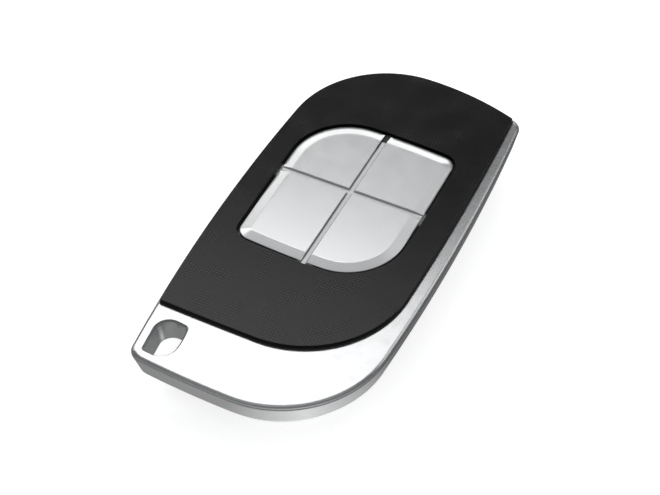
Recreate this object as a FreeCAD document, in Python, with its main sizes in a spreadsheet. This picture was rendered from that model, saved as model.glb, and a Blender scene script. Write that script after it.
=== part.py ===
import FreeCAD, Part
import math
import os
import Sketcher

# Gate remote control: a slim leaf-shaped hand transmitter with four keys and a keyring eye.
# Millimetres. +Z is up, +Y runs from the keyring end to the far end, and the origin is in the
# middle of the case, on the face that it rests on.

SIZES = {
    # plan of the case: four bowed sides, two large and two small corners
    "body_width": 37.4,
    "body_length": 74.0,
    "left_radius": 301.0,
    "right_radius": 366.0,
    "top_radius": 47.2,
    "bottom_radius": 162.0,
    "bow_y": -1.1,
    "bow_x": 0.2,
    "large_corner": 17.6,
    "far_corner": 1.9,
    "ring_corner": 2.2,
    # shells
    "wall": 1.2,
    "floor_wall": 1.2,
    "rim": 0.45,
    "parting": 0.24,
    "deck_thick": 1.3,
    "lid_gap": 0.1,
    # stack of inner pieces, from the floor up
    "clip_gap": 0.1,
    "clip_thick": 0.25,
    "cell_thick": 3.2,
    "cell_radius": 10.0,
    "contact_thick": 0.2,
    "contact_width": 12.0,
    "contact_length": 7.0,
    "contact_slot": 8.0,
    "clip_width": 5.0,
    "clip_foot": 1.2,
    "board_thick": 1.2,
    "switch_tall": 1.1,
    "plunger_out": 0.45,
    "stem_out": 0.75,
    "flange_thick": 0.6,
    # cover
    "recess": 0.2,
    "ledge": 0.2,
    "plate_thick": 0.5,
    "plate_inset": 0.07,
    "cover_inset": 0.48,
    "side_strip": 2.24,
    "foot_strip": 11.27,
    "cover_side_radius": 475.0,
    "cover_foot_radius": 780.0,
    "cover_side_y": 4.1,
    "cover_foot_x": -0.7,
    "cover_corner": 17.25,
    "seat_gap": 0.05,
    # keys
    "field_x": -1.14,
    "field_y": 6.28,
    "field_width": 24.72,
    "field_length": 30.42,
    "field_side_radius": 960.0,
    "field_end_radius": 129.0,
    "field_large_corner": 9.7,
    "field_small_corner": 2.1,
    "cross_x": -1.24,
    "cross_y": 7.43,
    "channel": 1.05,
    "divider": 0.81,
    "divider_drop": 0.06,
    "divider_near": 0.6,
    "divider_far": 1.5,
    "key_gap": 0.5,
    "key_edge_drop": 0.3,
    "bevel_width": 1.7,
    "bevel_rise": 0.3,
    "key_wall": 0.9,
    "key_roof": 0.8,
    "flange_out": 0.8,
    "flange_gap": 0.15,
    "stem_width": 2.2,
    # switches
    "switch_width": 4.6,
    "plunger_radius": 1.0,
    "plunger_gap": 0.05,
    "plunger_in": 0.4,
    "plunger_room": 0.4,
    # keyring eye
    "eye_margin": 1.85,
    "eye_inner_x": 8.08,
    "eye_inner_y": 9.25,
    "eye_bulge": 14.0,
    "eye_far_corner": 2.3,
    "eye_near_corner": 2.6,
    "eye_small_corner": 0.6,
    "eye_bevel": 0.25,
    "eye_draft": 0.12,
    "eye_taper": 0.5,
    "eye_neck_depth": 3.7,
    "eye_flare": 0.4,
    "eye_scoop": 5.0,
    "eye_scoop_left": 1.6,
    "eye_wall": 1.2,
    # circuit board and what stands on it
    "board_inset": 3.0,
    "board_foot": 13.2,
    "board_corner": 6.0,
    "cell_y": 2.0,
    "cell_gap": 0.35,
    "stop_thick": 0.8,
    "stop_width": 9.0,
    "stop_tall": 2.4,
    "rib_width": 1.2,
    "rib_length": 4.0,
    "rib_x": 11.5,
    "rib_far_gap": 12.0,
    "rib_near_gap": 4.8,
    "loop_width": 24.0,
    "loop_gap": 1.4,
    "loop_length": 10.4,
    "strip_width": 1.2,
    "strip_thick": 0.4,
    "strip_rise": 0.9,
    "controller_x": -2.6,
    "controller_gap": 8.6,
    "controller_width": 4.0,
    "controller_length": 5.0,
    "controller_tall": 1.4,
    "leg_pitch": 1.27,
    "leg_out": 0.8,
    "leg_width": 0.4,
    "radio_x": 5.6,
    "radio_gap": 10.0,
    "radio_width": 4.0,
    "radio_length": 4.0,
    "radio_tall": 0.9,
    "crystal_x": 6.0,
    "crystal_gap": 5.2,
    "crystal_width": 3.2,
    "crystal_length": 2.5,
    "crystal_tall": 0.8,
    "component_x": 9.7,
    "component_gap": 4.4,
    "component_pitch": 1.8,
    "component_length": 1.6,
    "component_width": 0.8,
    "component_tall": 0.5,
    # screws and their posts
    "screw_far_x": -3.0,
    "screw_far_gap": 5.3,
    "screw_near_x": 5.0,
    "screw_near_gap": 9.8,
    "boss_radius": 2.1,
    "foot_post_radius": 3.0,
    "boss_seat": 4.6,
    "head_radius": 1.9,
    "head_tall": 1.3,
    "head_depth": 2.4,
    "head_gap": 0.2,
    "shank_radius": 0.85,
    "shank_length": 5.4,
    "pilot_gap": 0.05,
    "pilot_spare": 0.1,
}

# Quarter section of the lower shell from the waist to the resting face, as shares of its height:
# how far it has come in, and how far it has gone down.
OUTER_ANGLES = (0, 22, 46)
INNER_ANGLES = (50,)
REST_SHARE = 0.76
CORNER_GROWTH = 0.8
# How far the block round the keyring hole has grown at each level of the hollow, from the waist
# down, as shares of the scoop under the hole.
BLOCK_SHARES = (0.0, 0.0, 0.5, 0.84)

doc = FreeCAD.newDocument("gate_remote")
sheet = doc.addObject("Spreadsheet::Sheet", "Sizes")
for row, (alias, number) in enumerate(SIZES.items(), start=1):
    sheet.set(f"A{row}", alias)
    sheet.set(f"B{row}", str(number))
    sheet.setAlias(f"B{row}", alias)
doc.recompute()


class Size:
    """A number with the text that ties it to the sheet, so that both follow one formula."""

    def __init__(self, value, text):
        self.value = float(value)
        self.text = text

    @staticmethod
    def of(thing):
        return thing if isinstance(thing, Size) else Size(thing, repr(float(thing)))

    def __add__(self, other):
        other = Size.of(other)
        return Size(self.value + other.value, f"({self.text} + {other.text})")

    def __sub__(self, other):
        other = Size.of(other)
        return Size(self.value - other.value, f"({self.text} - {other.text})")

    def __mul__(self, other):
        other = Size.of(other)
        return Size(self.value * other.value, f"({self.text} * {other.text})")

    def __truediv__(self, other):
        other = Size.of(other)
        return Size(self.value / other.value, f"({self.text} / {other.text})")


def size(alias):
    return Size(sheet.get(alias), f"Sizes.{alias}")


# Levels, from the resting face up

clip_z = size("floor_wall") + size("clip_gap")
cell_z = clip_z + size("clip_thick")
cell_top = cell_z + size("cell_thick")
board_z = cell_top + size("contact_thick")
board_top = board_z + size("board_thick")
switch_top = board_top + size("switch_tall")
plunger_top = switch_top + size("plunger_out")
flange_z = plunger_top + size("stem_out")
tray_z = flange_z + size("flange_thick")
deck = tray_z + size("recess")
waist = deck - size("rim")
deck_under = deck - size("deck_thick")
tray_top = deck + size("ledge")
cover_top = tray_top + size("plate_thick")
key_rim = cover_top - size("key_edge_drop")
key_top = key_rim + size("bevel_rise")
divider_top = key_rim - size("divider_drop")
eye_neck = deck - size("eye_neck_depth")

half_width = size("body_width") / 2
half_length = size("body_length") / 2
board_near_y = size("board_foot") - half_length
board_far_y = half_length - size("board_inset")


# Outlines made of arcs and lines with rounded corners

class Arc:
    """A side that is part of a circle, with the inside of the outline inside the circle."""

    def __init__(self, x, y, radius):
        self.x = Size.of(x)
        self.y = Size.of(y)
        self.radius = Size.of(radius)

    def inset(self, depth):
        return Arc(self.x, self.y, self.radius - depth)

    def centre(self):
        return FreeCAD.Vector(self.x.value, self.y.value, 0)

    def foot(self, point):
        return self.centre() + (point - self.centre()).normalize() * self.radius.value

    def heading(self, point):
        spoke = point - self.centre()
        return FreeCAD.Vector(-spoke.y, spoke.x, 0).normalize()


class Line:
    """A side along x = place or y = place; inside is 1 where the outline lies past it, else -1."""

    def __init__(self, axis, place, inside):
        self.axis = axis
        self.place = Size.of(place)
        self.inside = inside

    def inset(self, depth):
        return Line(self.axis, self.place + Size.of(depth) * self.inside, self.inside)

    def foot(self, point):
        if self.axis == "x":
            return FreeCAD.Vector(self.place.value, point.y, 0)
        return FreeCAD.Vector(point.x, self.place.value, 0)

    def heading(self, point):
        if self.axis == "x":
            return FreeCAD.Vector(0, -self.inside, 0)
        return FreeCAD.Vector(self.inside, 0, 0)


def crossings(first, second):
    """The points where two sides, run on as far as needed, meet."""
    if isinstance(first, Line) and isinstance(second, Line):
        across, along = (first, second) if first.axis == "x" else (second, first)
        return [FreeCAD.Vector(across.place.value, along.place.value, 0)]
    if isinstance(first, Line):
        return crossings(second, first)
    centre, radius = first.centre(), first.radius.value
    if isinstance(second, Line):
        if second.axis == "x":
            dx = second.place.value - centre.x
            dy = math.sqrt(radius ** 2 - dx ** 2)
            return [centre + FreeCAD.Vector(dx, sign * dy, 0) for sign in (1, -1)]
        dy = second.place.value - centre.y
        dx = math.sqrt(radius ** 2 - dy ** 2)
        return [centre + FreeCAD.Vector(sign * dx, dy, 0) for sign in (1, -1)]
    apart = second.centre() - centre
    reach = (radius ** 2 - second.radius.value ** 2 + apart.Length ** 2) / (2 * apart.Length)
    rise = math.sqrt(radius ** 2 - reach ** 2)
    forward = apart * (1 / apart.Length)
    sideways = FreeCAD.Vector(-forward.y, forward.x, 0)
    return [centre + forward * reach + sideways * (sign * rise) for sign in (1, -1)]


def corner_centre(first, second, radius, hollow):
    """Centre of the arc that rounds the corner from one side to the next, anticlockwise."""
    depth = -radius if hollow else radius
    first, second = first.inset(depth), second.inset(depth)
    for point in crossings(first, second):
        before, after = first.heading(point), second.heading(point)
        turn = before.x * after.y - before.y * after.x
        if (turn < 0) == hollow:
            return point
    raise ValueError("two sides of an outline have no corner")


def angle_of(point, centre):
    return math.atan2(point.y - centre.y, point.x - centre.x)


def bind(sketch, constraint, name, amount):
    index = sketch.addConstraint(constraint)
    sketch.renameConstraint(index, name)
    sketch.setExpression(f"Constraints.{name}", amount.text)


def new_sketch(body, name, height, role="XY_Plane"):
    height = Size.of(height)
    sketch = body.newObject("Sketcher::SketchObject", name)
    plane = [feature for feature in body.Origin.OriginFeatures if feature.Role == role][0]
    sketch.AttachmentSupport = (plane, [""])
    sketch.MapMode = "FlatFace"
    sketch.AttachmentOffset = FreeCAD.Placement(FreeCAD.Vector(0, 0, height.value), FreeCAD.Rotation())
    sketch.setExpression("AttachmentOffset.Base.z", height.text)
    return sketch


def outline(body, name, height, sides, corners, hollow=()):
    """Closed sketch of sides in anticlockwise order. corners[i] rounds the corner after side i, or is
    None where the corner is sharp, and hollow lists the corners that turn the other way."""
    sketch = new_sketch(body, name, height)
    up = FreeCAD.Vector(0, 0, 1)
    count = len(sides)
    rounds = []
    for i, side in enumerate(sides):
        after = sides[(i + 1) % count]
        radius = Size.of(corners[i] or 0.0)
        centre = corner_centre(side, after, radius.value, i in hollow)
        rounds.append((side.foot(centre), after.foot(centre), centre, radius))
    rounded = [i for i in range(count) if corners[i]]
    for i, side in enumerate(sides):
        start, end = rounds[i - 1][1], rounds[i][0]
        if isinstance(side, Line):
            sketch.addGeometry(Part.LineSegment(start, end), False)
            continue
        circle = Part.Circle(side.centre(), up, side.radius.value)
        span = angle_of(start, side.centre()), angle_of(end, side.centre())
        sketch.addGeometry(Part.ArcOfCircle(circle, *span), False)
    for i in rounded:
        start, end, centre, radius = rounds[i]
        if i in hollow:
            start, end = end, start
        span = angle_of(start, centre), angle_of(end, centre)
        sketch.addGeometry(Part.ArcOfCircle(Part.Circle(centre, up, radius.value), *span), False)
    for i in range(count):
        after = (i + 1) % count
        if i not in rounded:
            sketch.addConstraint(Sketcher.Constraint("Coincident", i, 2, after, 1))
            continue
        near, far = (2, 1) if i in hollow else (1, 2)
        corner = count + rounded.index(i)
        sketch.addConstraint(Sketcher.Constraint("Tangent", i, 2, corner, near))
        sketch.addConstraint(Sketcher.Constraint("Tangent", corner, far, after, 1))
        radius = rounds[i][3]
        bind(sketch, Sketcher.Constraint("Radius", corner, radius.value), f"corner_{i}", radius)
    for i, side in enumerate(sides):
        if isinstance(side, Line):
            upright, kind = ("Vertical", "DistanceX") if side.axis == "x" else ("Horizontal", "DistanceY")
            sketch.addConstraint(Sketcher.Constraint(upright, i))
            place = Sketcher.Constraint(kind, -1, 1, i, 1, side.place.value)
            bind(sketch, place, f"place_{i}", side.place)
            continue
        bind(sketch, Sketcher.Constraint("DistanceX", -1, 1, i, 3, side.x.value), f"x_{i}", side.x)
        bind(sketch, Sketcher.Constraint("DistanceY", -1, 1, i, 3, side.y.value), f"y_{i}", side.y)
        bind(sketch, Sketcher.Constraint("Radius", i, side.radius.value), f"radius_{i}", side.radius)
    return sketch


def rectangle(body, name, height, x, y, width, length, corner=None):
    """Rectangle about the point x, y, with sharp corners or rounded ones."""
    x, y, width, length = Size.of(x), Size.of(y), Size.of(width), Size.of(length)
    sides = [
        Line("x", x + width / 2, -1),
        Line("y", y + length / 2, -1),
        Line("x", x - width / 2, 1),
        Line("y", y - length / 2, 1),
    ]
    return outline(body, name, height, sides, [corner] * 4)


def disc(body, name, height, x, y, radius):
    x, y, radius = Size.of(x), Size.of(y), Size.of(radius)
    sketch = new_sketch(body, name, height)
    centre = FreeCAD.Vector(x.value, y.value, 0)
    sketch.addGeometry(Part.Circle(centre, FreeCAD.Vector(0, 0, 1), radius.value), False)
    bind(sketch, Sketcher.Constraint("DistanceX", -1, 1, 0, 3, x.value), "x", x)
    bind(sketch, Sketcher.Constraint("DistanceY", -1, 1, 0, 3, y.value), "y", y)
    bind(sketch, Sketcher.Constraint("Radius", 0, radius.value), "radius", radius)
    return sketch


def polygon(body, name, points, role="XZ_Plane", height=0.0):
    """Closed sketch of straight runs through points, each a pair of sizes in the sketch's plane."""
    sketch = new_sketch(body, name, height, role)
    points = [(Size.of(across), Size.of(along)) for across, along in points]
    spots = [FreeCAD.Vector(across.value, along.value, 0) for across, along in points]
    count = len(spots)
    for i, spot in enumerate(spots):
        sketch.addGeometry(Part.LineSegment(spot, spots[(i + 1) % count]), False)
    for i, (across, along) in enumerate(points):
        sketch.addConstraint(Sketcher.Constraint("Coincident", i - 1 if i else count - 1, 2, i, 1))
        bind(sketch, Sketcher.Constraint("DistanceX", -1, 1, i, 1, across.value), f"across_{i}", across)
        bind(sketch, Sketcher.Constraint("DistanceY", -1, 1, i, 1, along.value), f"along_{i}", along)
    return sketch


# Features

def new_body(name):
    body = doc.addObject("PartDesign::Body", name)
    body.Label = name
    return body


def move_body(body, x, y, z):
    for axis, amount in zip("xyz", (x, y, z)):
        body.setExpression(f"Placement.Base.{axis}", Size.of(amount).text)


def extrude(body, kind, name, sketch, length, reverse):
    length = Size.of(length)
    feature = body.newObject(f"PartDesign::{kind}", name)
    feature.Profile = sketch
    feature.Length = length.value
    feature.setExpression("Length", length.text)
    feature.Reversed = reverse
    return feature


def pad(body, name, sketch, length, down=False):
    return extrude(body, "Pad", name, sketch, length, down)


def pocket(body, name, sketch, length, up=False):
    """Cut down from the sketch, or up, and make sure that something was cut."""
    doc.recompute()
    before = body.Shape.Volume
    feature = extrude(body, "Pocket", name, sketch, length, up)
    doc.recompute()
    if body.Shape.Volume >= before - 1e-6:
        raise ValueError(f"{body.Label} {name} cuts nothing")
    return feature


def loft(body, kind, name, sketches, ruled=False):
    feature = body.newObject(f"PartDesign::{kind}Loft", name)
    feature.Profile = sketches[0]
    feature.Sections = [(sketch, [""]) for sketch in sketches[1:]]
    feature.Ruled = ruled
    return feature


def edges_at(shape, height, accept=lambda edge: True):
    """Names of the edges that lie wholly at one height."""
    names = []
    for number, edge in enumerate(shape.Edges, start=1):
        box = edge.BoundBox
        if abs(box.ZMin - height) < 1e-4 and abs(box.ZMax - height) < 1e-4 and accept(edge):
            names.append(f"Edge{number}")
    return names


def dress(body, kind, name, base, edges, amount):
    """Fillet or chamfer of some edges of the feature base."""
    amount = Size.of(amount)
    feature = body.newObject(f"PartDesign::{kind}", name)
    feature.Base = (base, edges)
    prop = "Radius" if kind == "Fillet" else "Size"
    setattr(feature, prop, amount.value)
    feature.setExpression(prop, amount.text)
    return feature


# Plan shapes that several pieces share

def case_sides(inset=0.0):
    right = Arc(half_width - size("right_radius"), size("bow_y"), size("right_radius"))
    far = Arc(size("bow_x"), half_length - size("top_radius"), size("top_radius"))
    left = Arc(size("left_radius") - half_width, size("bow_y"), size("left_radius"))
    near = Arc(size("bow_x"), size("bottom_radius") - half_length, size("bottom_radius"))
    return [side.inset(inset) for side in (right, far, left, near)]


def case_outline(body, name, height, inset):
    """The case's outline, come in by inset; its small corners open out as it comes in."""
    inset = Size.of(inset)
    large = size("large_corner") - inset
    far, ring = size("far_corner") + inset * CORNER_GROWTH, size("ring_corner") + inset * CORNER_GROWTH
    return outline(body, name, height, case_sides(inset), [far, large, ring, large])


eye_right = size("eye_inner_x") - half_width
eye_far = size("eye_inner_y") - half_length


def hollow_outline(body, name, height, inset, block_gap=0.0):
    """The outline of the case's hollow, which steps round the block that holds the keyring eye."""
    inset = Size.of(inset)
    right, far, left, near = case_sides(inset)
    block_far = Line("y", eye_far + size("eye_wall") + block_gap, 1)
    block_side = Line("x", eye_right + size("eye_wall") + block_gap, 1)
    large = size("large_corner") - inset
    sides = [right, far, left, block_far, block_side, near]
    return outline(body, name, height, sides, [None, large, None, None, None, large], hollow=(3,))


def eye_outline(body, name, height, inset, left_inset=None, block_inset=None):
    """The keyring hole: two sides follow the case's edge and two bulge away from it. The left side
    and the two that bulge can have an inset of their own."""
    inset = Size.of(inset)
    left_inset = inset if left_inset is None else Size.of(left_inset)
    block_inset = inset if block_inset is None else Size.of(block_inset)
    left, near = case_sides(size("eye_margin"))[2:]
    bulge = size("eye_bulge")
    middle_x = (eye_right - half_width + size("eye_margin")) / 2
    middle_y = (eye_far - half_length + size("eye_margin")) / 2
    right = Arc(eye_right - bulge, middle_y, bulge)
    far = Arc(middle_x, eye_far - bulge, bulge)
    sides = [right.inset(block_inset), far.inset(block_inset), left.inset(left_inset), near.inset(inset)]
    small = size("eye_small_corner")
    far_left, near_right = size("eye_far_corner") - inset, size("eye_near_corner") - inset
    return outline(body, name, height, sides, [small - block_inset, far_left, small, near_right])


def eye_funnel(body):
    """Cut the keyring hole from its bevelled mouth to the neck, which has come in on the left."""
    bevel = size("eye_bevel")
    sections = [
        eye_outline(body, "eye_mouth", deck, bevel * -1),
        eye_outline(body, "eye_throat", deck - bevel, 0.0),
        eye_outline(body, "eye_neck", eye_neck, size("eye_draft"), size("eye_taper")),
    ]
    loft(body, "Subtractive", "eye_funnel", sections, ruled=True)


def cover_outline(body, name, height, inset):
    """The black cover: two sides follow the case and two are its own."""
    inset = Size.of(inset)
    far, left = case_sides(size("cover_inset"))[1:3]
    side_radius, foot_radius = size("cover_side_radius"), size("cover_foot_radius")
    right = Arc(half_width - size("side_strip") - side_radius, size("cover_side_y"), side_radius)
    foot = Arc(size("cover_foot_x"), size("foot_strip") - half_length + foot_radius, foot_radius)
    sides = [side.inset(inset) for side in (right, far, left, foot)]
    far_left = size("large_corner") - size("cover_inset") - inset
    return outline(body, name, height, sides, [None, far_left, None, size("cover_corner") - inset])


def field_sides():
    """The sides of the field that the four keys fill."""
    x, y = size("field_x"), size("field_y")
    side, end = size("field_side_radius"), size("field_end_radius")
    half_x, half_y = size("field_width") / 2, size("field_length") / 2
    right = Arc(x + half_x - side, y, side)
    far = Arc(x, y + half_y - end, end)
    left = Arc(x - half_x + side, y, side)
    near = Arc(x, y - half_y + end, end)
    return [right, far, left, near]


def field_outline(body, name, height, grow):
    grow = Size.of(grow)
    small, large = size("field_small_corner") + grow, size("field_large_corner") + grow
    sides = [side.inset(grow * -1) for side in field_sides()]
    return outline(body, name, height, sides, [small, large, small, large])


def bow_profile(angles, thick, height):
    """Pairs of inset and level down the lower shell's side; thick is the wall for its inner face."""
    pairs = []
    radius = height - thick
    for angle in angles:
        inward = 1 - math.cos(math.radians(angle))
        pairs.append((thick + radius * inward, height - radius * math.sin(math.radians(angle))))
    return pairs + [(thick + radius * REST_SHARE, None)]


SCREWS = (
    (size("screw_far_x"), size("field_y") + size("field_length") / 2 + size("screw_far_gap")),
    (size("screw_near_x"), size("screw_near_gap") - half_length),
)


def make_bottom_shell():
    body = new_body("bottom_shell")
    bow_top = waist - size("parting")
    profile = [(size("parting"), waist)] + bow_profile(OUTER_ANGLES, Size.of(0.0), bow_top)
    outer = []
    for i, (inset, level) in enumerate(profile):
        outer.append(case_outline(body, f"outer_{i}", level or 0.0, inset))
    loft(body, "Additive", "bowl", outer, ruled=True)
    profile = [(size("wall"), waist), (size("wall"), deck_under - size("lid_gap"))]
    profile += bow_profile(INNER_ANGLES, size("wall"), waist)
    inner = []
    for i, (inset, level) in enumerate(profile):
        level = level or size("floor_wall")
        gap = size("eye_scoop") * BLOCK_SHARES[i]
        inner.append(hollow_outline(body, f"inner_{i}", level, inset, gap))
    loft(body, "Subtractive", "hollow", inner, ruled=True)
    root = size("floor_wall") * 0.8
    for i, (x, y) in enumerate(SCREWS):
        post = disc(body, f"screw_post_{i}", root, x, y, size("foot_post_radius"))
        pad(body, f"screw_post_pad_{i}", post, size("boss_seat") - root)
    rib_rows = (board_far_y - size("rib_far_gap"), board_near_y + size("rib_near_gap"))
    for i, sign in enumerate((1, -1)):
        for row, y in enumerate(rib_rows):
            x = size("rib_x") * sign
            rib = rectangle(body, f"rib_{i}{row}", root, x, y, size("rib_width"), size("rib_length"))
            pad(body, f"rib_pad_{i}{row}", rib, board_z - root)
    for i, sign in enumerate((1, -1)):
        middle = size("cell_radius") + size("cell_gap") + size("stop_thick") / 2
        stop = rectangle(body, f"cell_stop_{i}", root, 0.0, size("cell_y") + middle * sign, size("stop_width"),
                         size("stop_thick"))
        pad(body, f"cell_stop_pad_{i}", stop, size("floor_wall") - root + size("stop_tall"))
    for i, (x, y) in enumerate(SCREWS):
        head = disc(body, f"head_hole_{i}", size("head_depth"), x, y, size("head_radius") + size("head_gap"))
        pocket(body, f"head_hole_cut_{i}", head, size("head_depth"))
        hole = disc(body, f"shank_hole_{i}", size("boss_seat"), x, y, size("shank_radius") + size("head_gap"))
        pocket(body, f"shank_hole_cut_{i}", hole, size("boss_seat"))
    eye_funnel(body)
    lower = [
        eye_outline(body, "eye_neck_lower", eye_neck, size("eye_draft"), size("eye_taper")),
        eye_outline(body, "eye_foot", 0.0, size("eye_flare") * -1, size("eye_scoop_left") * -1,
                    size("eye_scoop") * -1),
    ]
    loft(body, "Subtractive", "eye_scoop_cut", lower, ruled=True)
    return body


def make_top_shell():
    body = new_body("top_shell")
    rim = []
    for i, angle in enumerate((0, 45, 90)):
        inset = size("rim") * (1 - math.cos(math.radians(angle)))
        level = waist + size("rim") * math.sin(math.radians(angle))
        rim.append(case_outline(body, f"rim_{i}", level, inset))
    loft(body, "Additive", "rounded_rim", rim, ruled=True)
    plug = hollow_outline(body, "plug", waist, size("wall") + size("lid_gap"), size("lid_gap"))
    pad(body, "plug_pad", plug, waist - deck_under, down=True)
    bed = cover_outline(body, "cover_bed", deck, size("seat_gap") * -1)
    pocket(body, "cover_bed_cut", bed, size("recess"))
    window = field_outline(body, "window", deck, size("flange_out") + size("flange_gap"))
    pocket(body, "window_cut", window, size("deck_thick"))
    root = deck_under + 0.3
    for i, (x, y) in enumerate(SCREWS):
        boss = disc(body, f"boss_{i}", root, x, y, size("boss_radius"))
        pad(body, f"boss_pad_{i}", boss, root - size("boss_seat"), down=True)
        reach = size("head_depth") + size("shank_length") + size("pilot_spare")
        pilot = disc(body, f"pilot_{i}", size("boss_seat"), x, y, size("shank_radius") + size("pilot_gap"))
        pocket(body, f"pilot_cut_{i}", pilot, reach - size("boss_seat"), up=True)
    eye_funnel(body)
    return body


def make_cover_tray():
    body = new_body("cover_tray")
    pad(body, "tray_pad", cover_outline(body, "tray", tray_z, 0.0), tray_top - tray_z)
    cut_key_window(body, tray_top, tray_top - tray_z)
    x, gap = size("cross_x"), size("key_gap")
    far = size("field_y") + size("field_length") / 2
    root = far + gap + 0.3
    tip = far - size("divider_far") + 0.05
    tongue = rectangle(body, "tongue", tray_z, x, (root + tip) / 2, size("divider"), root - tip)
    pad(body, "tongue_pad", tongue, tray_top - tray_z)
    return body


def cut_key_window(body, top, depth):
    """The opening for the keys, with a notch for the near end of the divider."""
    gap = size("key_gap")
    window = field_outline(body, "window", top, gap)
    pocket(body, "window_cut", window, depth)
    near = size("field_y") - size("field_length") / 2
    tip = near - size("divider_near") - 0.05
    notch = rectangle(body, "notch", top, size("cross_x"), tip + 0.5, size("divider") + 0.2, 1.0)
    pocket(body, "notch_cut", notch, depth)


def make_cover_plate():
    body = new_body("cover_plate")
    plate = cover_outline(body, "plate", tray_top, size("plate_inset"))
    pad(body, "plate_pad", plate, size("plate_thick"))
    cut_key_window(body, cover_top, size("plate_thick"))
    return body


def make_divider():
    body = new_body("key_divider")
    x, y = size("cross_x"), size("cross_y")
    half_x, half_y = size("field_width") / 2, size("field_length") / 2
    left, right = size("field_x") - half_x, size("field_x") + half_x
    near, far = size("field_y") - half_y, size("field_y") + half_y
    sill = size("flange_out") + size("flange_gap") - 0.02
    wide = size("divider")

    def arms(prefix, height, rise, west, east, south, north):
        bar = rectangle(body, f"{prefix}_across", height, (west + east) / 2, y, east - west, wide)
        pad(body, f"{prefix}_across_pad", bar, rise)
        post = rectangle(body, f"{prefix}_along", height, x, (south + north) / 2, wide, north - south)
        pad(body, f"{prefix}_along_pad", post, rise)

    arms("web", deck_under, tray_z - deck_under, left - sill, right + sill, near - sill, far + sill)
    arms("rib", tray_z, divider_top - tray_z, left, right, near - size("divider_near"), far - size("divider_far"))
    doc.recompute()
    top_edges = edges_at(body.Tip.Shape, divider_top.value)
    dress(body, "Chamfer", "rib_chamfer", body.Tip, top_edges, 0.12)
    return body


def key_inner(column, row):
    """The two straight sides of a key, along the channels of the cross."""
    half = size("channel") / 2
    return (
        Line("x", size("cross_x") + half * column, column),
        Line("y", size("cross_y") + half * row, row),
    )


def key_sides(column, row, outer, inner=0.0):
    """Sides of a key; outer and inner are the insets of its curved and straight sides."""
    right, far, left, near = [side.inset(outer) for side in field_sides()]
    upright, level = [side.inset(inner) for side in key_inner(column, row)]
    if column > 0:
        left = upright
    else:
        right = upright
    if row > 0:
        near = level
    else:
        far = level
    return [right, far, left, near]


def key_corners(column, row, outer):
    """Radii after each side; only the corner of the field that the key fills is rounded."""
    place = {(1, 1): 0, (-1, 1): 1, (-1, -1): 2, (1, -1): 3}[(column, row)]
    alias = "field_small_corner" if place in (0, 2) else "field_large_corner"
    radii = [None] * 4
    radii[place] = size(alias) - outer
    return radii


def key_centre(column, row):
    outer_x = size("field_x") + size("field_width") / 2 * column
    outer_y = size("field_y") + size("field_length") / 2 * row
    upright, level = key_inner(column, row)
    return (outer_x + upright.place) / 2, (outer_y + level.place) / 2


KEYS = (("far_left", -1, 1), ("far_right", 1, 1), ("near_left", -1, -1), ("near_right", 1, -1))


def make_key(label, column, row):
    body = new_body(f"key_{label}")
    grow = size("flange_out") * -1

    def shape(name, height, outer, inner=0.0):
        sides = key_sides(column, row, outer, inner)
        return outline(body, name, height, sides, key_corners(column, row, Size.of(outer)))

    pad(body, "flange_pad", shape("flange", flange_z, grow), size("flange_thick"))
    pad(body, "cap_pad", shape("cap", tray_z, 0.0), key_rim - tray_z)
    rim, crown = shape("rim", key_rim, 0.0), shape("crown", key_top, size("bevel_width"))
    loft(body, "Additive", "bevel", [rim, crown], ruled=True)
    wall = size("key_wall")
    roof = key_rim - size("key_roof")
    pocket(body, "underside_cut", shape("underside", roof, wall, wall), roof - flange_z)
    x, y = key_centre(column, row)
    stem = rectangle(body, "stem", roof, x, y, size("stem_width"), size("stem_width"))
    pad(body, "stem_pad", stem, roof - plunger_top, down=True)
    return body


def make_switch(label, column, row):
    body = new_body(f"switch_{label}")
    wide, tall = size("switch_width"), size("switch_tall")
    pad(body, "case_pad", rectangle(body, "case", 0.0, 0.0, 0.0, wide, wide), tall)
    hole = disc(body, "well", tall, 0.0, 0.0, size("plunger_radius") + size("plunger_gap"))
    pocket(body, "well_cut", hole, size("plunger_in") + size("plunger_room"))
    x, y = key_centre(column, row)
    move_body(body, x, y, board_top)
    return body


def make_plunger(label, column, row):
    body = new_body(f"plunger_{label}")
    pin = disc(body, "pin", 0.0, 0.0, 0.0, size("plunger_radius"))
    pad(body, "pin_pad", pin, size("plunger_in") + size("plunger_out"))
    x, y = key_centre(column, row)
    move_body(body, x, y, switch_top - size("plunger_in"))
    return body


def make_board():
    body = new_body("circuit_board")
    inset = size("board_inset")
    right, far, left = case_sides(inset)[:3]
    foot = Line("y", board_near_y, 1)
    corners = [size("far_corner") + inset * CORNER_GROWTH, size("large_corner") - inset, None, size("board_corner")]
    pad(body, "board_pad", outline(body, "board", board_z, [right, far, left, foot], corners),
        size("board_thick"))
    x, y = SCREWS[0]
    hole = disc(body, "boss_hole", board_top, x, y, size("boss_radius") + 0.3)
    pocket(body, "boss_hole_cut", hole, size("board_thick"))
    return body


def make_cell():
    body = new_body("coin_cell")
    radius, tall = size("cell_radius"), size("cell_thick")
    points = [
        (0.0, cell_z),
        (radius, cell_z),
        (radius, cell_top - 0.3),
        (radius - 1.3, cell_top),
        (0.0, cell_top),
    ]
    section = polygon(body, "section", points)
    feature = body.newObject("PartDesign::Revolution", "can")
    feature.Profile = section
    feature.ReferenceAxis = (section, ["V_Axis"])
    feature.Angle = 360.0
    move_body(body, 0.0, size("cell_y"), 0.0)
    return body


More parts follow.
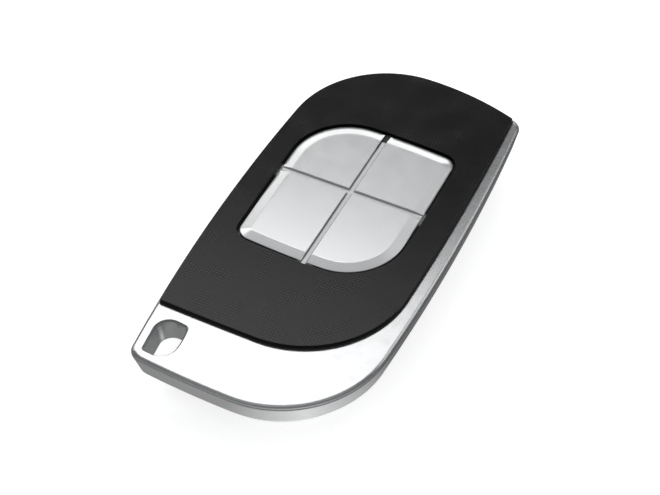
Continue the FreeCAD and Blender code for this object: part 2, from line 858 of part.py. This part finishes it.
def make_clip():
    """Bent strip that runs down one side of the cell, under it and up the other side."""
    body = new_body("cell_clip")
    inner, thick = size("cell_radius") + 0.05, size("clip_thick")
    outer = inner + thick
    foot = outer + size("clip_foot")
    points = [
        (foot * -1, board_z), (foot * -1, board_z - thick), (outer * -1, board_z - thick), (outer * -1, clip_z),
        (outer, clip_z), (outer, board_z - thick), (foot, board_z - thick), (foot, board_z),
        (inner, board_z), (inner, cell_z), (inner * -1, cell_z), (inner * -1, board_z),
    ]
    strip = polygon(body, "strip", points)
    feature = pad(body, "strip_pad", strip, size("clip_width"))
    feature.Midplane = True
    move_body(body, 0.0, size("cell_y"), 0.0)
    return body


def make_contact():
    """Spring plate on the board that presses on the cell's small pole."""
    body = new_body("cell_contact")
    thick = size("contact_thick")
    pad(body, "plate_pad", rectangle(body, "plate", cell_top, 0.0, size("cell_y"), size("contact_width"),
                                   size("contact_length")), thick)
    for i, sign in enumerate((1, -1)):
        y = size("cell_y") + size("contact_length") * (0.27 * sign)
        slot = rectangle(body, f"slot_{i}", board_z, 0.0, y, size("contact_slot"), size("contact_length") / 10)
        pocket(body, f"slot_cut_{i}", slot, thick)
    return body


def make_chip(name, alias, legs=0):
    """Packaged chip on the board, with legs along its two long sides where it has them."""
    body = new_body(name)
    width, length, tall = size(f"{alias}_width"), size(f"{alias}_length"), size(f"{alias}_tall")
    lift, lip = tall / 10, width / 20
    pad(body, "case_pad", rectangle(body, "case", lift, 0.0, 0.0, width, length), tall - lift)
    pad(body, "base_pad", rectangle(body, "base", 0.0, 0.0, 0.0, width - lip * 2, length - lip * 2), lift)
    for i in range(legs):
        place = size("leg_pitch") * (i - (legs - 1) / 2)
        leg = rectangle(body, f"leg_{i}", 0.0, 0.0, place, width + size("leg_out") * 2, size("leg_width"))
        pad(body, f"leg_pad_{i}", leg, lift * 2)
    move_body(body, size(f"{alias}_x"), board_near_y + size(f"{alias}_gap"), board_top)
    return body


def make_antenna():
    """Stamped strip bent to a loop, which stands over the near end of the board on its two feet."""
    body = new_body("antenna_loop")
    wide, thick, rise = size("strip_width"), size("strip_thick"), size("strip_rise")
    half_x, near_y = size("loop_width") / 2, board_near_y + size("loop_gap")
    far_y = near_y + size("loop_length")
    left, right = half_x * -1, half_x
    points = [
        (left, far_y), (left, near_y), (right, near_y), (right, far_y),
        (right - wide, far_y), (right - wide, near_y + wide), (left + wide, near_y + wide), (left + wide, far_y),
    ]
    pad(body, "strip_pad", polygon(body, "strip", points, "XY_Plane", rise), thick)
    for i, sign in enumerate((1, -1)):
        middle = (half_x - wide / 2) * sign
        foot = rectangle(body, f"foot_{i}", 0.0, middle, far_y - thick / 2, wide, thick)
        pad(body, f"foot_pad_{i}", foot, rise)
    move_body(body, 0.0, 0.0, board_top)
    return body


def group(name, members):
    compound = doc.addObject("Part::Compound", name)
    compound.Label = name
    compound.Links = members
    return compound


def bound(thing, **sizes):
    for prop, amount in sizes.items():
        amount = Size.of(amount)
        setattr(thing, prop, amount.value)
        thing.setExpression(prop, amount.text)
    return thing


def make_screw(index, x, y):
    """Pan-head screw, head down, with a cross recess."""
    top = size("head_depth")
    head = bound(doc.addObject("Part::Cylinder", f"screw_head_{index}"), Radius=size("head_radius"),
                 Height=size("head_tall"))
    shank = bound(doc.addObject("Part::Cylinder", f"screw_shank_{index}"), Radius=size("shank_radius"),
                  Height=size("shank_length") + 0.2)
    blank = doc.addObject("Part::Fuse", f"screw_blank_{index}")
    move_body(head, x, y, top - size("head_tall"))
    move_body(shank, x, y, top - 0.2)
    blank.Base, blank.Tool = head, shank
    for turn, (across, along) in enumerate(((2.2, 0.5), (0.5, 2.2))):
        slot = bound(doc.addObject("Part::Box", f"screw_slot_{index}{turn}"), Length=across, Width=along, Height=0.7)
        move_body(slot, x - across / 2, y - along / 2, top - size("head_tall") - 0.1)
        cut = doc.addObject("Part::Cut", f"screw_cut_{index}{turn}")
        cut.Base, cut.Tool = blank, slot
        blank = cut
    return blank


def make_chip_components():
    """Small resistors and capacitors in a row at each side of the board."""
    pieces = []
    for sign in (-1, 1):
        for i in range(4):
            name = f"chip_component_{len(pieces)}"
            piece = bound(doc.addObject("Part::Box", name), Length=size("component_length"),
                          Width=size("component_width"), Height=size("component_tall"))
            x = size("component_x") * sign - size("component_length") / 2
            y = board_near_y + size("component_gap") + size("component_pitch") * i - size("component_width") / 2
            move_body(piece, x, y, board_top)
            pieces.append(piece)
    return group("chip_components", pieces)


def build_all():
    parts = [make_bottom_shell(), make_top_shell(), make_cover_tray(), make_cover_plate(), make_divider()]
    for key in KEYS:
        parts += [make_key(*key), make_switch(*key), make_plunger(*key)]
    parts += [make_board(), make_cell(), make_clip(), make_contact(), make_antenna()]
    parts.append(make_chip("microcontroller", "controller", legs=4))
    parts.append(make_chip("radio_chip", "radio"))
    parts.append(make_chip("crystal", "crystal"))
    parts.append(make_chip_components())
    screws = [make_screw(i, x, y) for i, (x, y) in enumerate(SCREWS)]
    parts.append(group("case_screws", screws))
    return parts


def check(parts):
    for thing in doc.Objects:
        if "Invalid" in thing.State or "Error" in thing.State:
            raise ValueError(f"{thing.Label} failed: {thing.State}")
    for part in parts:
        if part.Shape.isNull() or not part.Shape.isValid():
            raise ValueError(f"{part.Label} has no valid shape")


parts = build_all()
doc.recompute()
check(parts)
os.makedirs("parts", exist_ok=True)
for part in parts:
    part.Shape.exportStep(f"parts/{part.Label}.step")
    box = part.Shape.BoundBox
    print(f"{part.Label:20s} {len(part.Shape.Solids)} solids {part.Shape.Volume:9.2f} mm3",
          f"z {box.ZMin:.2f} to {box.ZMax:.2f}")
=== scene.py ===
import math

import bpy
from mathutils import Matrix, Quaternion, Vector

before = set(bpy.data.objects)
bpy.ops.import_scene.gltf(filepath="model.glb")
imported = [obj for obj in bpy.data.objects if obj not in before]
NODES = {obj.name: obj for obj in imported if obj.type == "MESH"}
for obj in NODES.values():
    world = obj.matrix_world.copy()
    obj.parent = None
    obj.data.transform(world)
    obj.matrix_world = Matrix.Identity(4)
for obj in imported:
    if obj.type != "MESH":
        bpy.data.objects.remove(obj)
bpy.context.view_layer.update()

KEYS = ("far_left", "far_right", "near_left", "near_right")
PER_METRE = 1000.0


# Places and lengths that the materials use, in mm

# The keys are silver above the first height. Below the second their outer sides are darkened to black: painted
# shade for the gaps round the keys.
KEY_SHADE_START, KEY_SHADE_FULL = 9.6, 9.45
# The middle of the cross between the keys. Sides nearer to its arms than the first distance are
# silver all the way down; from the second on they carry the painted shade.
CROSS_X, CROSS_Y = -1.24, 7.43
SIDES_UNSHADED, SIDES_SHADED = 1.0, 1.5
# Between these y, at the far end of the cross, the painted shade comes on those sides too.
FAR_UNSHADED, FAR_SHADED = 18.0, 18.5

# Radii that the light sees on the edges, and on those of the cover.
EDGE, COVER_EDGE = 0.08, 0.1
EDGE_SAMPLES = 8
# On the keys: beside the cross and elsewhere. The radius grows between these distances from its arms.
KEY_CRISP, KEY_ROUND = 0.04, 0.8
CRISP_END, ROUND_START = 0.55, 1.35
# The largest radius on the near keys. It grows to KEY_ROUND between these y.
NEAR_ROUND = 0.2
NEAR_END, NEAR_START = 0.0, 5.0
# On the case: round the keyring hole and elsewhere. The radius grows between these distances from
# the hole's middle.
HOLE = (-12.8, -31.1, 9.2)
HOLE_CRISP, CASE_ROUND = 0.06, 0.4
HOLE_END, CASE_START = 4.2, 4.8

# Sizes of what varies in each finish, and the height of its relief.
CASE_FLAKES, CASE_CLOUDS, CASE_RUBBED, CASE_GRAIN, CASE_WAVES, CASE_RELIEF = 0.13, 9.0, 1.6, 0.16, 1.1, 0.00018
KEY_FLAKES, KEY_CLOUDS, KEY_WORN, KEY_GRAIN, KEY_RELIEF = 0.09, 6.0, 2.2, 0.3, 0.0003
COVER_DOTS, COVER_GRAIN, COVER_DUST, COVER_RELIEF = 0.5, 0.12, 5.0, 0.008
# The roughness of the plain finishes varies over patches this many times as wide as the grain.
PATCHES = 2.3


# Colours and shares

CASE_DARK, CASE_LIGHT = (0.47, 0.474, 0.478), (0.54, 0.544, 0.548)
KEY_DARK, KEY_LIGHT = (0.765, 0.768, 0.771), (0.785, 0.788, 0.791)
COVER_DARK, COVER_LIGHT = (0.002, 0.002, 0.0021), (0.017, 0.017, 0.0173)
# The share of the silver that is left where the sides of a key are darkened by painted shade.
SHADED_SHARE = 0.04
# The share of metal on the tops of the keys; their sides under the painted shade have none.
KEY_METAL = 0.55
# Where a dot of the cover ends and where it is full, as a share of the pitch.
DOT_FULL, DOT_END = 0.2, 0.34

# Dark and light colour, roughness from and to, grain in mm, relief in mm, share of metal.
PLAIN = {
    "divider_silver": ((0.66, 0.664, 0.668), (0.74, 0.744, 0.748), 0.36, 0.42, 0.3, 0.0003, 0.3),
    "tray_black": ((0.006, 0.006, 0.006), (0.011, 0.011, 0.011), 0.4, 0.5, 0.2, 0.002, 0.0),
    "board_green": ((0.02, 0.12, 0.05), (0.03, 0.16, 0.07), 0.3, 0.4, 1.5, 0.002, 0.0),
    "steel": ((0.55, 0.55, 0.54), (0.63, 0.63, 0.62), 0.28, 0.4, 0.3, 0.002, 1.0),
    "chip_black": ((0.015, 0.015, 0.016), (0.025, 0.025, 0.026), 0.5, 0.6, 0.1, 0.003, 0.0),
    "component_tan": ((0.35, 0.25, 0.15), (0.42, 0.31, 0.2), 0.4, 0.5, 0.2, 0.002, 0.0),
    "plunger_brown": ((0.25, 0.14, 0.07), (0.3, 0.17, 0.09), 0.4, 0.5, 0.2, 0.002, 0.0),
    "brass": ((0.62, 0.42, 0.2), (0.68, 0.47, 0.25), 0.25, 0.35, 0.3, 0.001, 1.0),
}


# Materials

class Nodes:
    """Helpers for a node tree. A source is the output of a node; lengths in the tree are in metres."""

    def __init__(self, tree, place):
        self.tree = tree
        self.place = self.node("ShaderNodeTexCoord").outputs[place]

    def node(self, kind, **settings):
        made = self.tree.nodes.new(kind)
        for name, value in settings.items():
            setattr(made, name, value)
        return made

    def feed(self, value, socket):
        """Set the socket to a number, or link it to a source."""
        if isinstance(value, float):
            socket.default_value = value
        else:
            self.tree.links.new(value, socket)

    def calculate(self, operation, first, second):
        made = self.node("ShaderNodeMath", operation=operation)
        self.feed(first, made.inputs[0])
        self.feed(second, made.inputs[1])
        return made.outputs["Value"]

    def times(self, first, second):
        return self.calculate("MULTIPLY", first, second)

    def sum(self, first, second):
        return self.calculate("ADD", first, second)

    def least(self, first, second):
        return self.calculate("MINIMUM", first, second)

    def most(self, first, second):
        return self.calculate("MAXIMUM", first, second)

    def spread(self, source, low, high, start=0.0, end=1.0):
        """The source, which runs from start to end, as a number from low to high."""
        made = self.node("ShaderNodeMapRange")
        made.inputs["From Min"].default_value = start
        made.inputs["From Max"].default_value = end
        made.inputs["To Min"].default_value = low
        made.inputs["To Max"].default_value = high
        self.feed(source, made.inputs["Value"])
        return made.outputs["Result"]

    def share(self, source, start=0.3, end=0.7):
        """The source, which runs from start to end, as a number from 0 to 1."""
        return self.spread(source, 0.0, 1.0, start, end)

    def fade(self, source, low, high, start, end):
        """As spread, for a source in metres that runs from start to end in mm."""
        return self.spread(source, low, high, start / PER_METRE, end / PER_METRE)

    def radius(self, source, low, high, start, end):
        """As fade, with low and high in mm too. The result is in metres."""
        return self.fade(source, low / PER_METRE, high / PER_METRE, start, end)

    def blend(self, first, second, share):
        """Both together, with this share of the second."""
        made = self.node("ShaderNodeMix", data_type="FLOAT")
        self.feed(share, made.inputs["Factor"])
        self.feed(first, made.inputs["A"])
        self.feed(second, made.inputs["B"])
        return made.outputs["Result"]

    def along(self, axis):
        split = self.node("ShaderNodeSeparateXYZ")
        self.feed(self.place, split.inputs["Vector"])
        return split.outputs[axis]

    def away(self, axis, plane):
        """Distance in metres from a plane across the axis, which is at this many mm."""
        less = self.calculate("SUBTRACT", self.along(axis), plane / PER_METRE)
        made = self.node("ShaderNodeMath", operation="ABSOLUTE")
        self.feed(less, made.inputs[0])
        return made.outputs["Value"]

    def distance(self, point):
        """Distance in metres from a point in mm."""
        made = self.node("ShaderNodeVectorMath", operation="DISTANCE")
        made.inputs[1].default_value = [value / PER_METRE for value in point]
        self.feed(self.place, made.inputs[0])
        return made.outputs["Value"]


class Paint(Nodes):
    """A material with one shader. Its textures hold on to the piece, in the row frame."""

    def __init__(self, name, **sockets):
        self.material = bpy.data.materials.new(name)
        self.material.use_nodes = True
        self.material.node_tree.nodes.clear()
        super().__init__(self.material.node_tree, "Object")
        self.output = self.node("ShaderNodeOutputMaterial")
        self.shader = self.node("ShaderNodeBsdfPrincipled")
        self.feed(self.shader.outputs["BSDF"], self.output.inputs["Surface"])
        for socket, value in sockets.items():
            self.shader.inputs[socket].default_value = value

    def noise(self, millimetres, detail=3.0):
        noise = self.node("ShaderNodeTexNoise")
        noise.inputs["Scale"].default_value = PER_METRE / millimetres
        noise.inputs["Detail"].default_value = detail
        self.feed(self.place, noise.inputs["Vector"])
        return noise.outputs["Fac"]

    def cells(self, millimetres, randomness=1.0):
        cells = self.node("ShaderNodeTexVoronoi")
        cells.inputs["Scale"].default_value = PER_METRE / millimetres
        cells.inputs["Randomness"].default_value = randomness
        self.feed(self.place, cells.inputs["Vector"])
        return cells.outputs["Distance"]

    def mix(self, source, low, high):
        """The colour low where the source is 0, and high where it is 1."""
        made = self.node("ShaderNodeMix", data_type="RGBA")
        made.inputs["A"].default_value = (*low, 1)
        made.inputs["B"].default_value = (*high, 1)
        self.feed(source, made.inputs["Factor"])
        return made.outputs["Result"]

    def darkened(self, color, factor):
        made = self.node("ShaderNodeVectorMath", operation="SCALE")
        self.feed(color, made.inputs[0])
        self.feed(factor, made.inputs["Scale"])
        return made.outputs["Vector"]

    def give(self, socket, source):
        self.feed(source, self.shader.inputs[socket])

    def relief(self, source, millimetres, edge=EDGE / PER_METRE):
        """Bumps from the source, over edges that the light sees as rounded; edge is in metres."""
        rounded = self.node("ShaderNodeBevel", samples=EDGE_SAMPLES)
        self.feed(edge, rounded.inputs["Radius"])
        made = self.node("ShaderNodeBump")
        made.inputs["Distance"].default_value = millimetres / PER_METRE
        self.feed(rounded.outputs["Normal"], made.inputs["Normal"])
        self.feed(source, made.inputs["Height"])
        self.give("Normal", made.outputs["Normal"])


def make_case_silver():
    """Metallic paint: fine flakes that differ in tone, over a faint unevenness and light rubbing."""
    paint = Paint("case_silver", Metallic=0.85)
    flakes = paint.share(paint.cells(CASE_FLAKES), start=0.2, end=0.8)
    clouds = paint.share(paint.noise(CASE_CLOUDS, detail=4.0))
    paint.give("Base Color", paint.mix(paint.blend(flakes, clouds, share=0.25), CASE_DARK, CASE_LIGHT))
    rubbed = paint.share(paint.noise(CASE_RUBBED, detail=5.0), start=0.45, end=0.75)
    paint.give("Roughness", paint.spread(paint.blend(flakes, rubbed, share=0.6), 0.17, 0.21))
    edge = paint.radius(paint.distance(HOLE), HOLE_CRISP, CASE_ROUND, HOLE_END, CASE_START)
    uneven = paint.blend(paint.noise(CASE_GRAIN, detail=2.0), paint.noise(CASE_WAVES), share=0.5)
    paint.relief(uneven, CASE_RELIEF, edge)
    return paint.material


def make_key_silver():
    """Finer and brighter paint than the case's, a little worn where a thumb presses. Below the top, the outer
    sides are darkened to black: painted shade in the gaps round the keys.
    """
    paint = Paint("key_silver")
    flakes = paint.share(paint.cells(KEY_FLAKES), start=0.2, end=0.8)
    clouds = paint.share(paint.noise(KEY_CLOUDS, detail=4.0))
    silver = paint.mix(paint.blend(flakes, clouds, share=0.35), KEY_DARK, KEY_LIGHT)
    # Painted shade: the outer sides of the keys turn black below the top, but not beside the cross's arms nor
    # short of its far end.
    top = paint.fade(paint.along("Z"), SHADED_SHARE, 1.0, KEY_SHADE_FULL, KEY_SHADE_START)
    arm = paint.least(paint.away("X", CROSS_X), paint.away("Y", CROSS_Y))
    beside = paint.fade(arm, 1.0, SHADED_SHARE, SIDES_UNSHADED, SIDES_SHADED)
    before = paint.fade(paint.along("Y"), 1.0, SHADED_SHARE, FAR_UNSHADED, FAR_SHADED)
    left = paint.most(top, paint.least(beside, before))
    paint.give("Base Color", paint.darkened(silver, left))
    paint.give("Metallic", paint.spread(top, 0.0, KEY_METAL, SHADED_SHARE, 1.0))
    worn = paint.share(paint.noise(KEY_WORN, detail=4.0), start=0.4, end=0.7)
    paint.give("Roughness", paint.spread(worn, 0.205, 0.23))
    edge = paint.radius(arm, KEY_CRISP, KEY_ROUND, CRISP_END, ROUND_START)
    widest = paint.radius(paint.along("Y"), NEAR_ROUND, KEY_ROUND, NEAR_END, NEAR_START)
    paint.relief(paint.noise(KEY_GRAIN), KEY_RELIEF, paint.least(edge, widest))
    return paint.material


def make_cover_black():
    """Black plastic with a fine grid of low dots and a faint grain between them."""
    paint = Paint("cover_black")
    dots = paint.spread(paint.cells(COVER_DOTS, randomness=0.0), 1.0, 0.0, DOT_FULL, DOT_END)
    grain = paint.noise(COVER_GRAIN, detail=2.0)
    dust = paint.share(paint.noise(COVER_DUST, detail=5.0), start=0.4, end=0.8)
    paint.give("Base Color", paint.mix(paint.blend(dots, dust, share=0.4), COVER_DARK, COVER_LIGHT))
    paint.give("Specular IOR Level", paint.spread(dots, 0.22, 0.4))
    paint.give("Roughness", paint.spread(paint.blend(grain, dust, share=0.5), 0.17, 0.23, start=0.3, end=0.8))
    paint.relief(paint.blend(dots, grain, share=0.35), COVER_RELIEF, COVER_EDGE / PER_METRE)
    return paint.material


def make_plain(name, dark, light, smooth, rough, grain, relief, metal):
    """Slightly uneven colour, roughness and surface."""
    paint = Paint(name, Metallic=metal)
    noise = paint.noise(grain)
    paint.give("Base Color", paint.mix(paint.share(noise), dark, light))
    paint.give("Roughness", paint.spread(paint.share(paint.noise(grain * PATCHES)), smooth, rough))
    paint.relief(noise, relief)
    return paint.material


MATERIALS = {
    "case_silver": make_case_silver(),
    "key_silver": make_key_silver(),
    "cover_black": make_cover_black(),
}
for name, values in PLAIN.items():
    MATERIALS[name] = make_plain(name, *values)

LOOKS = {
    "bottom_shell": "case_silver",
    "top_shell": "case_silver",
    "cover_tray": "tray_black",
    "cover_plate": "cover_black",
    "key_divider": "divider_silver",
    "circuit_board": "board_green",
    "coin_cell": "steel",
    "cell_clip": "steel",
    "cell_contact": "steel",
    "antenna_loop": "brass",
    "microcontroller": "chip_black",
    "radio_chip": "chip_black",
    "crystal": "steel",
    "chip_components": "component_tan",
    "case_screws": "steel",
}
for key in KEYS:
    LOOKS[f"key_{key}"] = "key_silver"
    LOOKS[f"switch_{key}"] = "chip_black"
    LOOKS[f"plunger_{key}"] = "plunger_brown"
for name, node in NODES.items():
    node.data.materials.clear()
    node.data.materials.append(MATERIALS[LOOKS[name]])


# Stage: white floor, soft lights and the photo's camera

FLOOR_HALF = 3.0
FLOOR_DROP = 0.0002
FLOOR_COLOR = (0.8, 0.8, 0.8)
BLACK = (0.0, 0.0, 0.0)
FLOOR_GLOW = 0.68
# Painted reflection: the glow that mirrors alone see on the floor, and the pools where it is brighter: x, y
# and radius in mm, brightness.
PAINTED_REFLECTION_BASE = 0.17
PAINTED_REFLECTION_POOLS = (
    (0.0, -50.0, 45.0, 0.62),
    (13.0, -34.5, 22.0, 1.4),
    (-4.5, -28.5, 4.0, 2.0),
)

WORLD_COLOR = (0.97, 0.985, 1.0)
WORLD_SOFT = 0.48
# What mirrors show of the world: light round this azimuth and elevation, out to where the cosine of
# the angle between is down to WORLD_EDGE, and dark elsewhere.
WORLD_LIGHT_SIDE = (207.0, 75.0)
WORLD_EDGE = 0.85
WORLD_DARK, WORLD_LIGHT = 0.14, 0.42
# A band of light round the horizon: its strength, and the rise at which it starts and stops to fade.
HORIZON = 0.5
HORIZON_FADE, HORIZON_END = 0.22, 0.34

# Azimuth, elevation, roll, distance, width, height, brightness; degrees and metres.
LAMPS = {
    "main_panel": (228.0, 49.5, -32.0, 0.9, 0.6, 0.19, 2.55),
    "far_strip": (205.0, 29.0, 0.0, 0.9, 0.62, 0.25, 1.8),
    "right_fill": (183.0, 54.0, 0.0, 0.9, 0.25, 0.2, 0.6),
    "right_edge": (148.0, 45.0, 0.0, 0.9, 0.25, 0.35, 1.6),
    "edge_strip": (30.0, 80.0, 0.0, 0.9, 1.2, 0.25, 0.4),
}

SENSOR, LENS = 36.0, 102.61
CLIP_START, CLIP_END = 0.01, 10.0
CAMERA_AT = (0.088416, -0.178288, 0.22535)
CAMERA_RIGHT = (0.89609, 0.44384, -0.0054)
CAMERA_UP = (-0.32644, 0.66721, 0.66953)
CAMERA_BACK = (0.30076, -0.5982, 0.74277)


def add_object(name, data):
    made = bpy.data.objects.new(name, data)
    bpy.context.scene.collection.objects.link(made)
    return made


def make_floor():
    """White floor with the object's shadow. Mirrors show a dark one with glowing pools, which are painted
    reflections.
    """
    mesh = bpy.data.meshes.new("floor")
    corners = [(x * FLOOR_HALF, y * FLOOR_HALF, 0) for x, y in ((-1, -1), (1, -1), (1, 1), (-1, 1))]
    mesh.from_pydata(corners, [], [(0, 1, 2, 3)])
    floor = add_object("floor", mesh)
    floor.location.z = -FLOOR_DROP
    paint = Paint("floor_white", Roughness=0.8)
    path = paint.node("ShaderNodeLightPath")
    glow = paint.node("ShaderNodeEmission")
    both = paint.node("ShaderNodeAddShader")
    glossy = path.outputs["Is Glossy Ray"]
    seen = paint.times(path.outputs["Is Camera Ray"], FLOOR_GLOW)
    through = paint.times(path.outputs["Is Transmission Ray"], FLOOR_GLOW)
    reflection_glow = PAINTED_REFLECTION_BASE
    for x, y, radius, brightness in PAINTED_REFLECTION_POOLS:
        pool = paint.fade(paint.distance((x, y, 0.0)), brightness, PAINTED_REFLECTION_BASE, 0.0, radius)
        reflection_glow = paint.most(reflection_glow, pool)
    # Painted reflection: for mirrors the floor is black and glows only with the pools.
    paint.give("Base Color", paint.mix(glossy, FLOOR_COLOR, BLACK))
    strength = paint.sum(paint.sum(seen, paint.times(glossy, reflection_glow)), through)
    paint.feed(strength, glow.inputs["Strength"])
    paint.feed(paint.shader.outputs["BSDF"], both.inputs[0])
    paint.feed(glow.outputs["Emission"], both.inputs[1])
    paint.feed(both.outputs["Shader"], paint.output.inputs["Surface"])
    mesh.materials.append(paint.material)


def toward(azimuth, elevation):
    """Direction from the object; azimuth 0 is on the near side and 90 on the right."""
    turn, rise = math.radians(azimuth), math.radians(elevation)
    level = math.cos(rise)
    return Vector((math.sin(turn) * level, -math.cos(turn) * level, math.sin(rise)))


def make_world():
    """An even soft light for plain surfaces, which glossy ones mirror as a dimmer studio."""
    world = bpy.data.worlds.new("studio")
    bpy.context.scene.world = world
    world.use_nodes = True
    nodes = Nodes(world.node_tree, "Generated")
    path = nodes.node("ShaderNodeLightPath")
    facing = nodes.node("ShaderNodeVectorMath", operation="DOT_PRODUCT")
    facing.inputs[1].default_value = toward(*WORLD_LIGHT_SIDE)
    nodes.feed(nodes.place, facing.inputs[0])
    side = nodes.spread(facing.outputs["Value"], WORLD_DARK, WORLD_LIGHT, start=WORLD_EDGE, end=1.0)
    band = nodes.spread(nodes.along("Z"), HORIZON, 0.0, start=HORIZON_FADE, end=HORIZON_END)
    strength = nodes.blend(WORLD_SOFT, nodes.most(side, band), path.outputs["Is Glossy Ray"])
    background = world.node_tree.nodes["Background"]
    background.inputs["Color"].default_value = (*WORLD_COLOR, 1)
    nodes.feed(strength, background.inputs["Strength"])


def make_lamp(name, azimuth, elevation, roll, distance, wide, tall, brightness):
    """Rectangular lamp that faces the object; brightness is what a mirror would show of it."""
    lamp = bpy.data.lights.new(name, "AREA")
    lamp.shape = "RECTANGLE"
    lamp.size, lamp.size_y = wide, tall
    lamp.energy = brightness * math.pi * wide * tall
    made = add_object(name, lamp)
    way = toward(azimuth, elevation)
    made.location = way * distance
    made.rotation_mode = "QUATERNION"
    made.rotation_quaternion = way.to_track_quat("Z", "Y") @ Quaternion((0, 0, 1), math.radians(roll))


def make_camera():
    camera = bpy.data.cameras.new("camera")
    camera.sensor_width, camera.lens = SENSOR, LENS
    camera.clip_start, camera.clip_end = CLIP_START, CLIP_END
    made = add_object("camera", camera)
    turned = Matrix((CAMERA_RIGHT, CAMERA_UP, CAMERA_BACK)).transposed().to_4x4()
    made.matrix_world = Matrix.Translation(Vector(CAMERA_AT)) @ turned
    bpy.context.scene.camera = made


make_floor()
make_world()
make_camera()
for name, values in LAMPS.items():
    make_lamp(name, *values)
bpy.context.scene.view_settings.view_transform = "Standard"
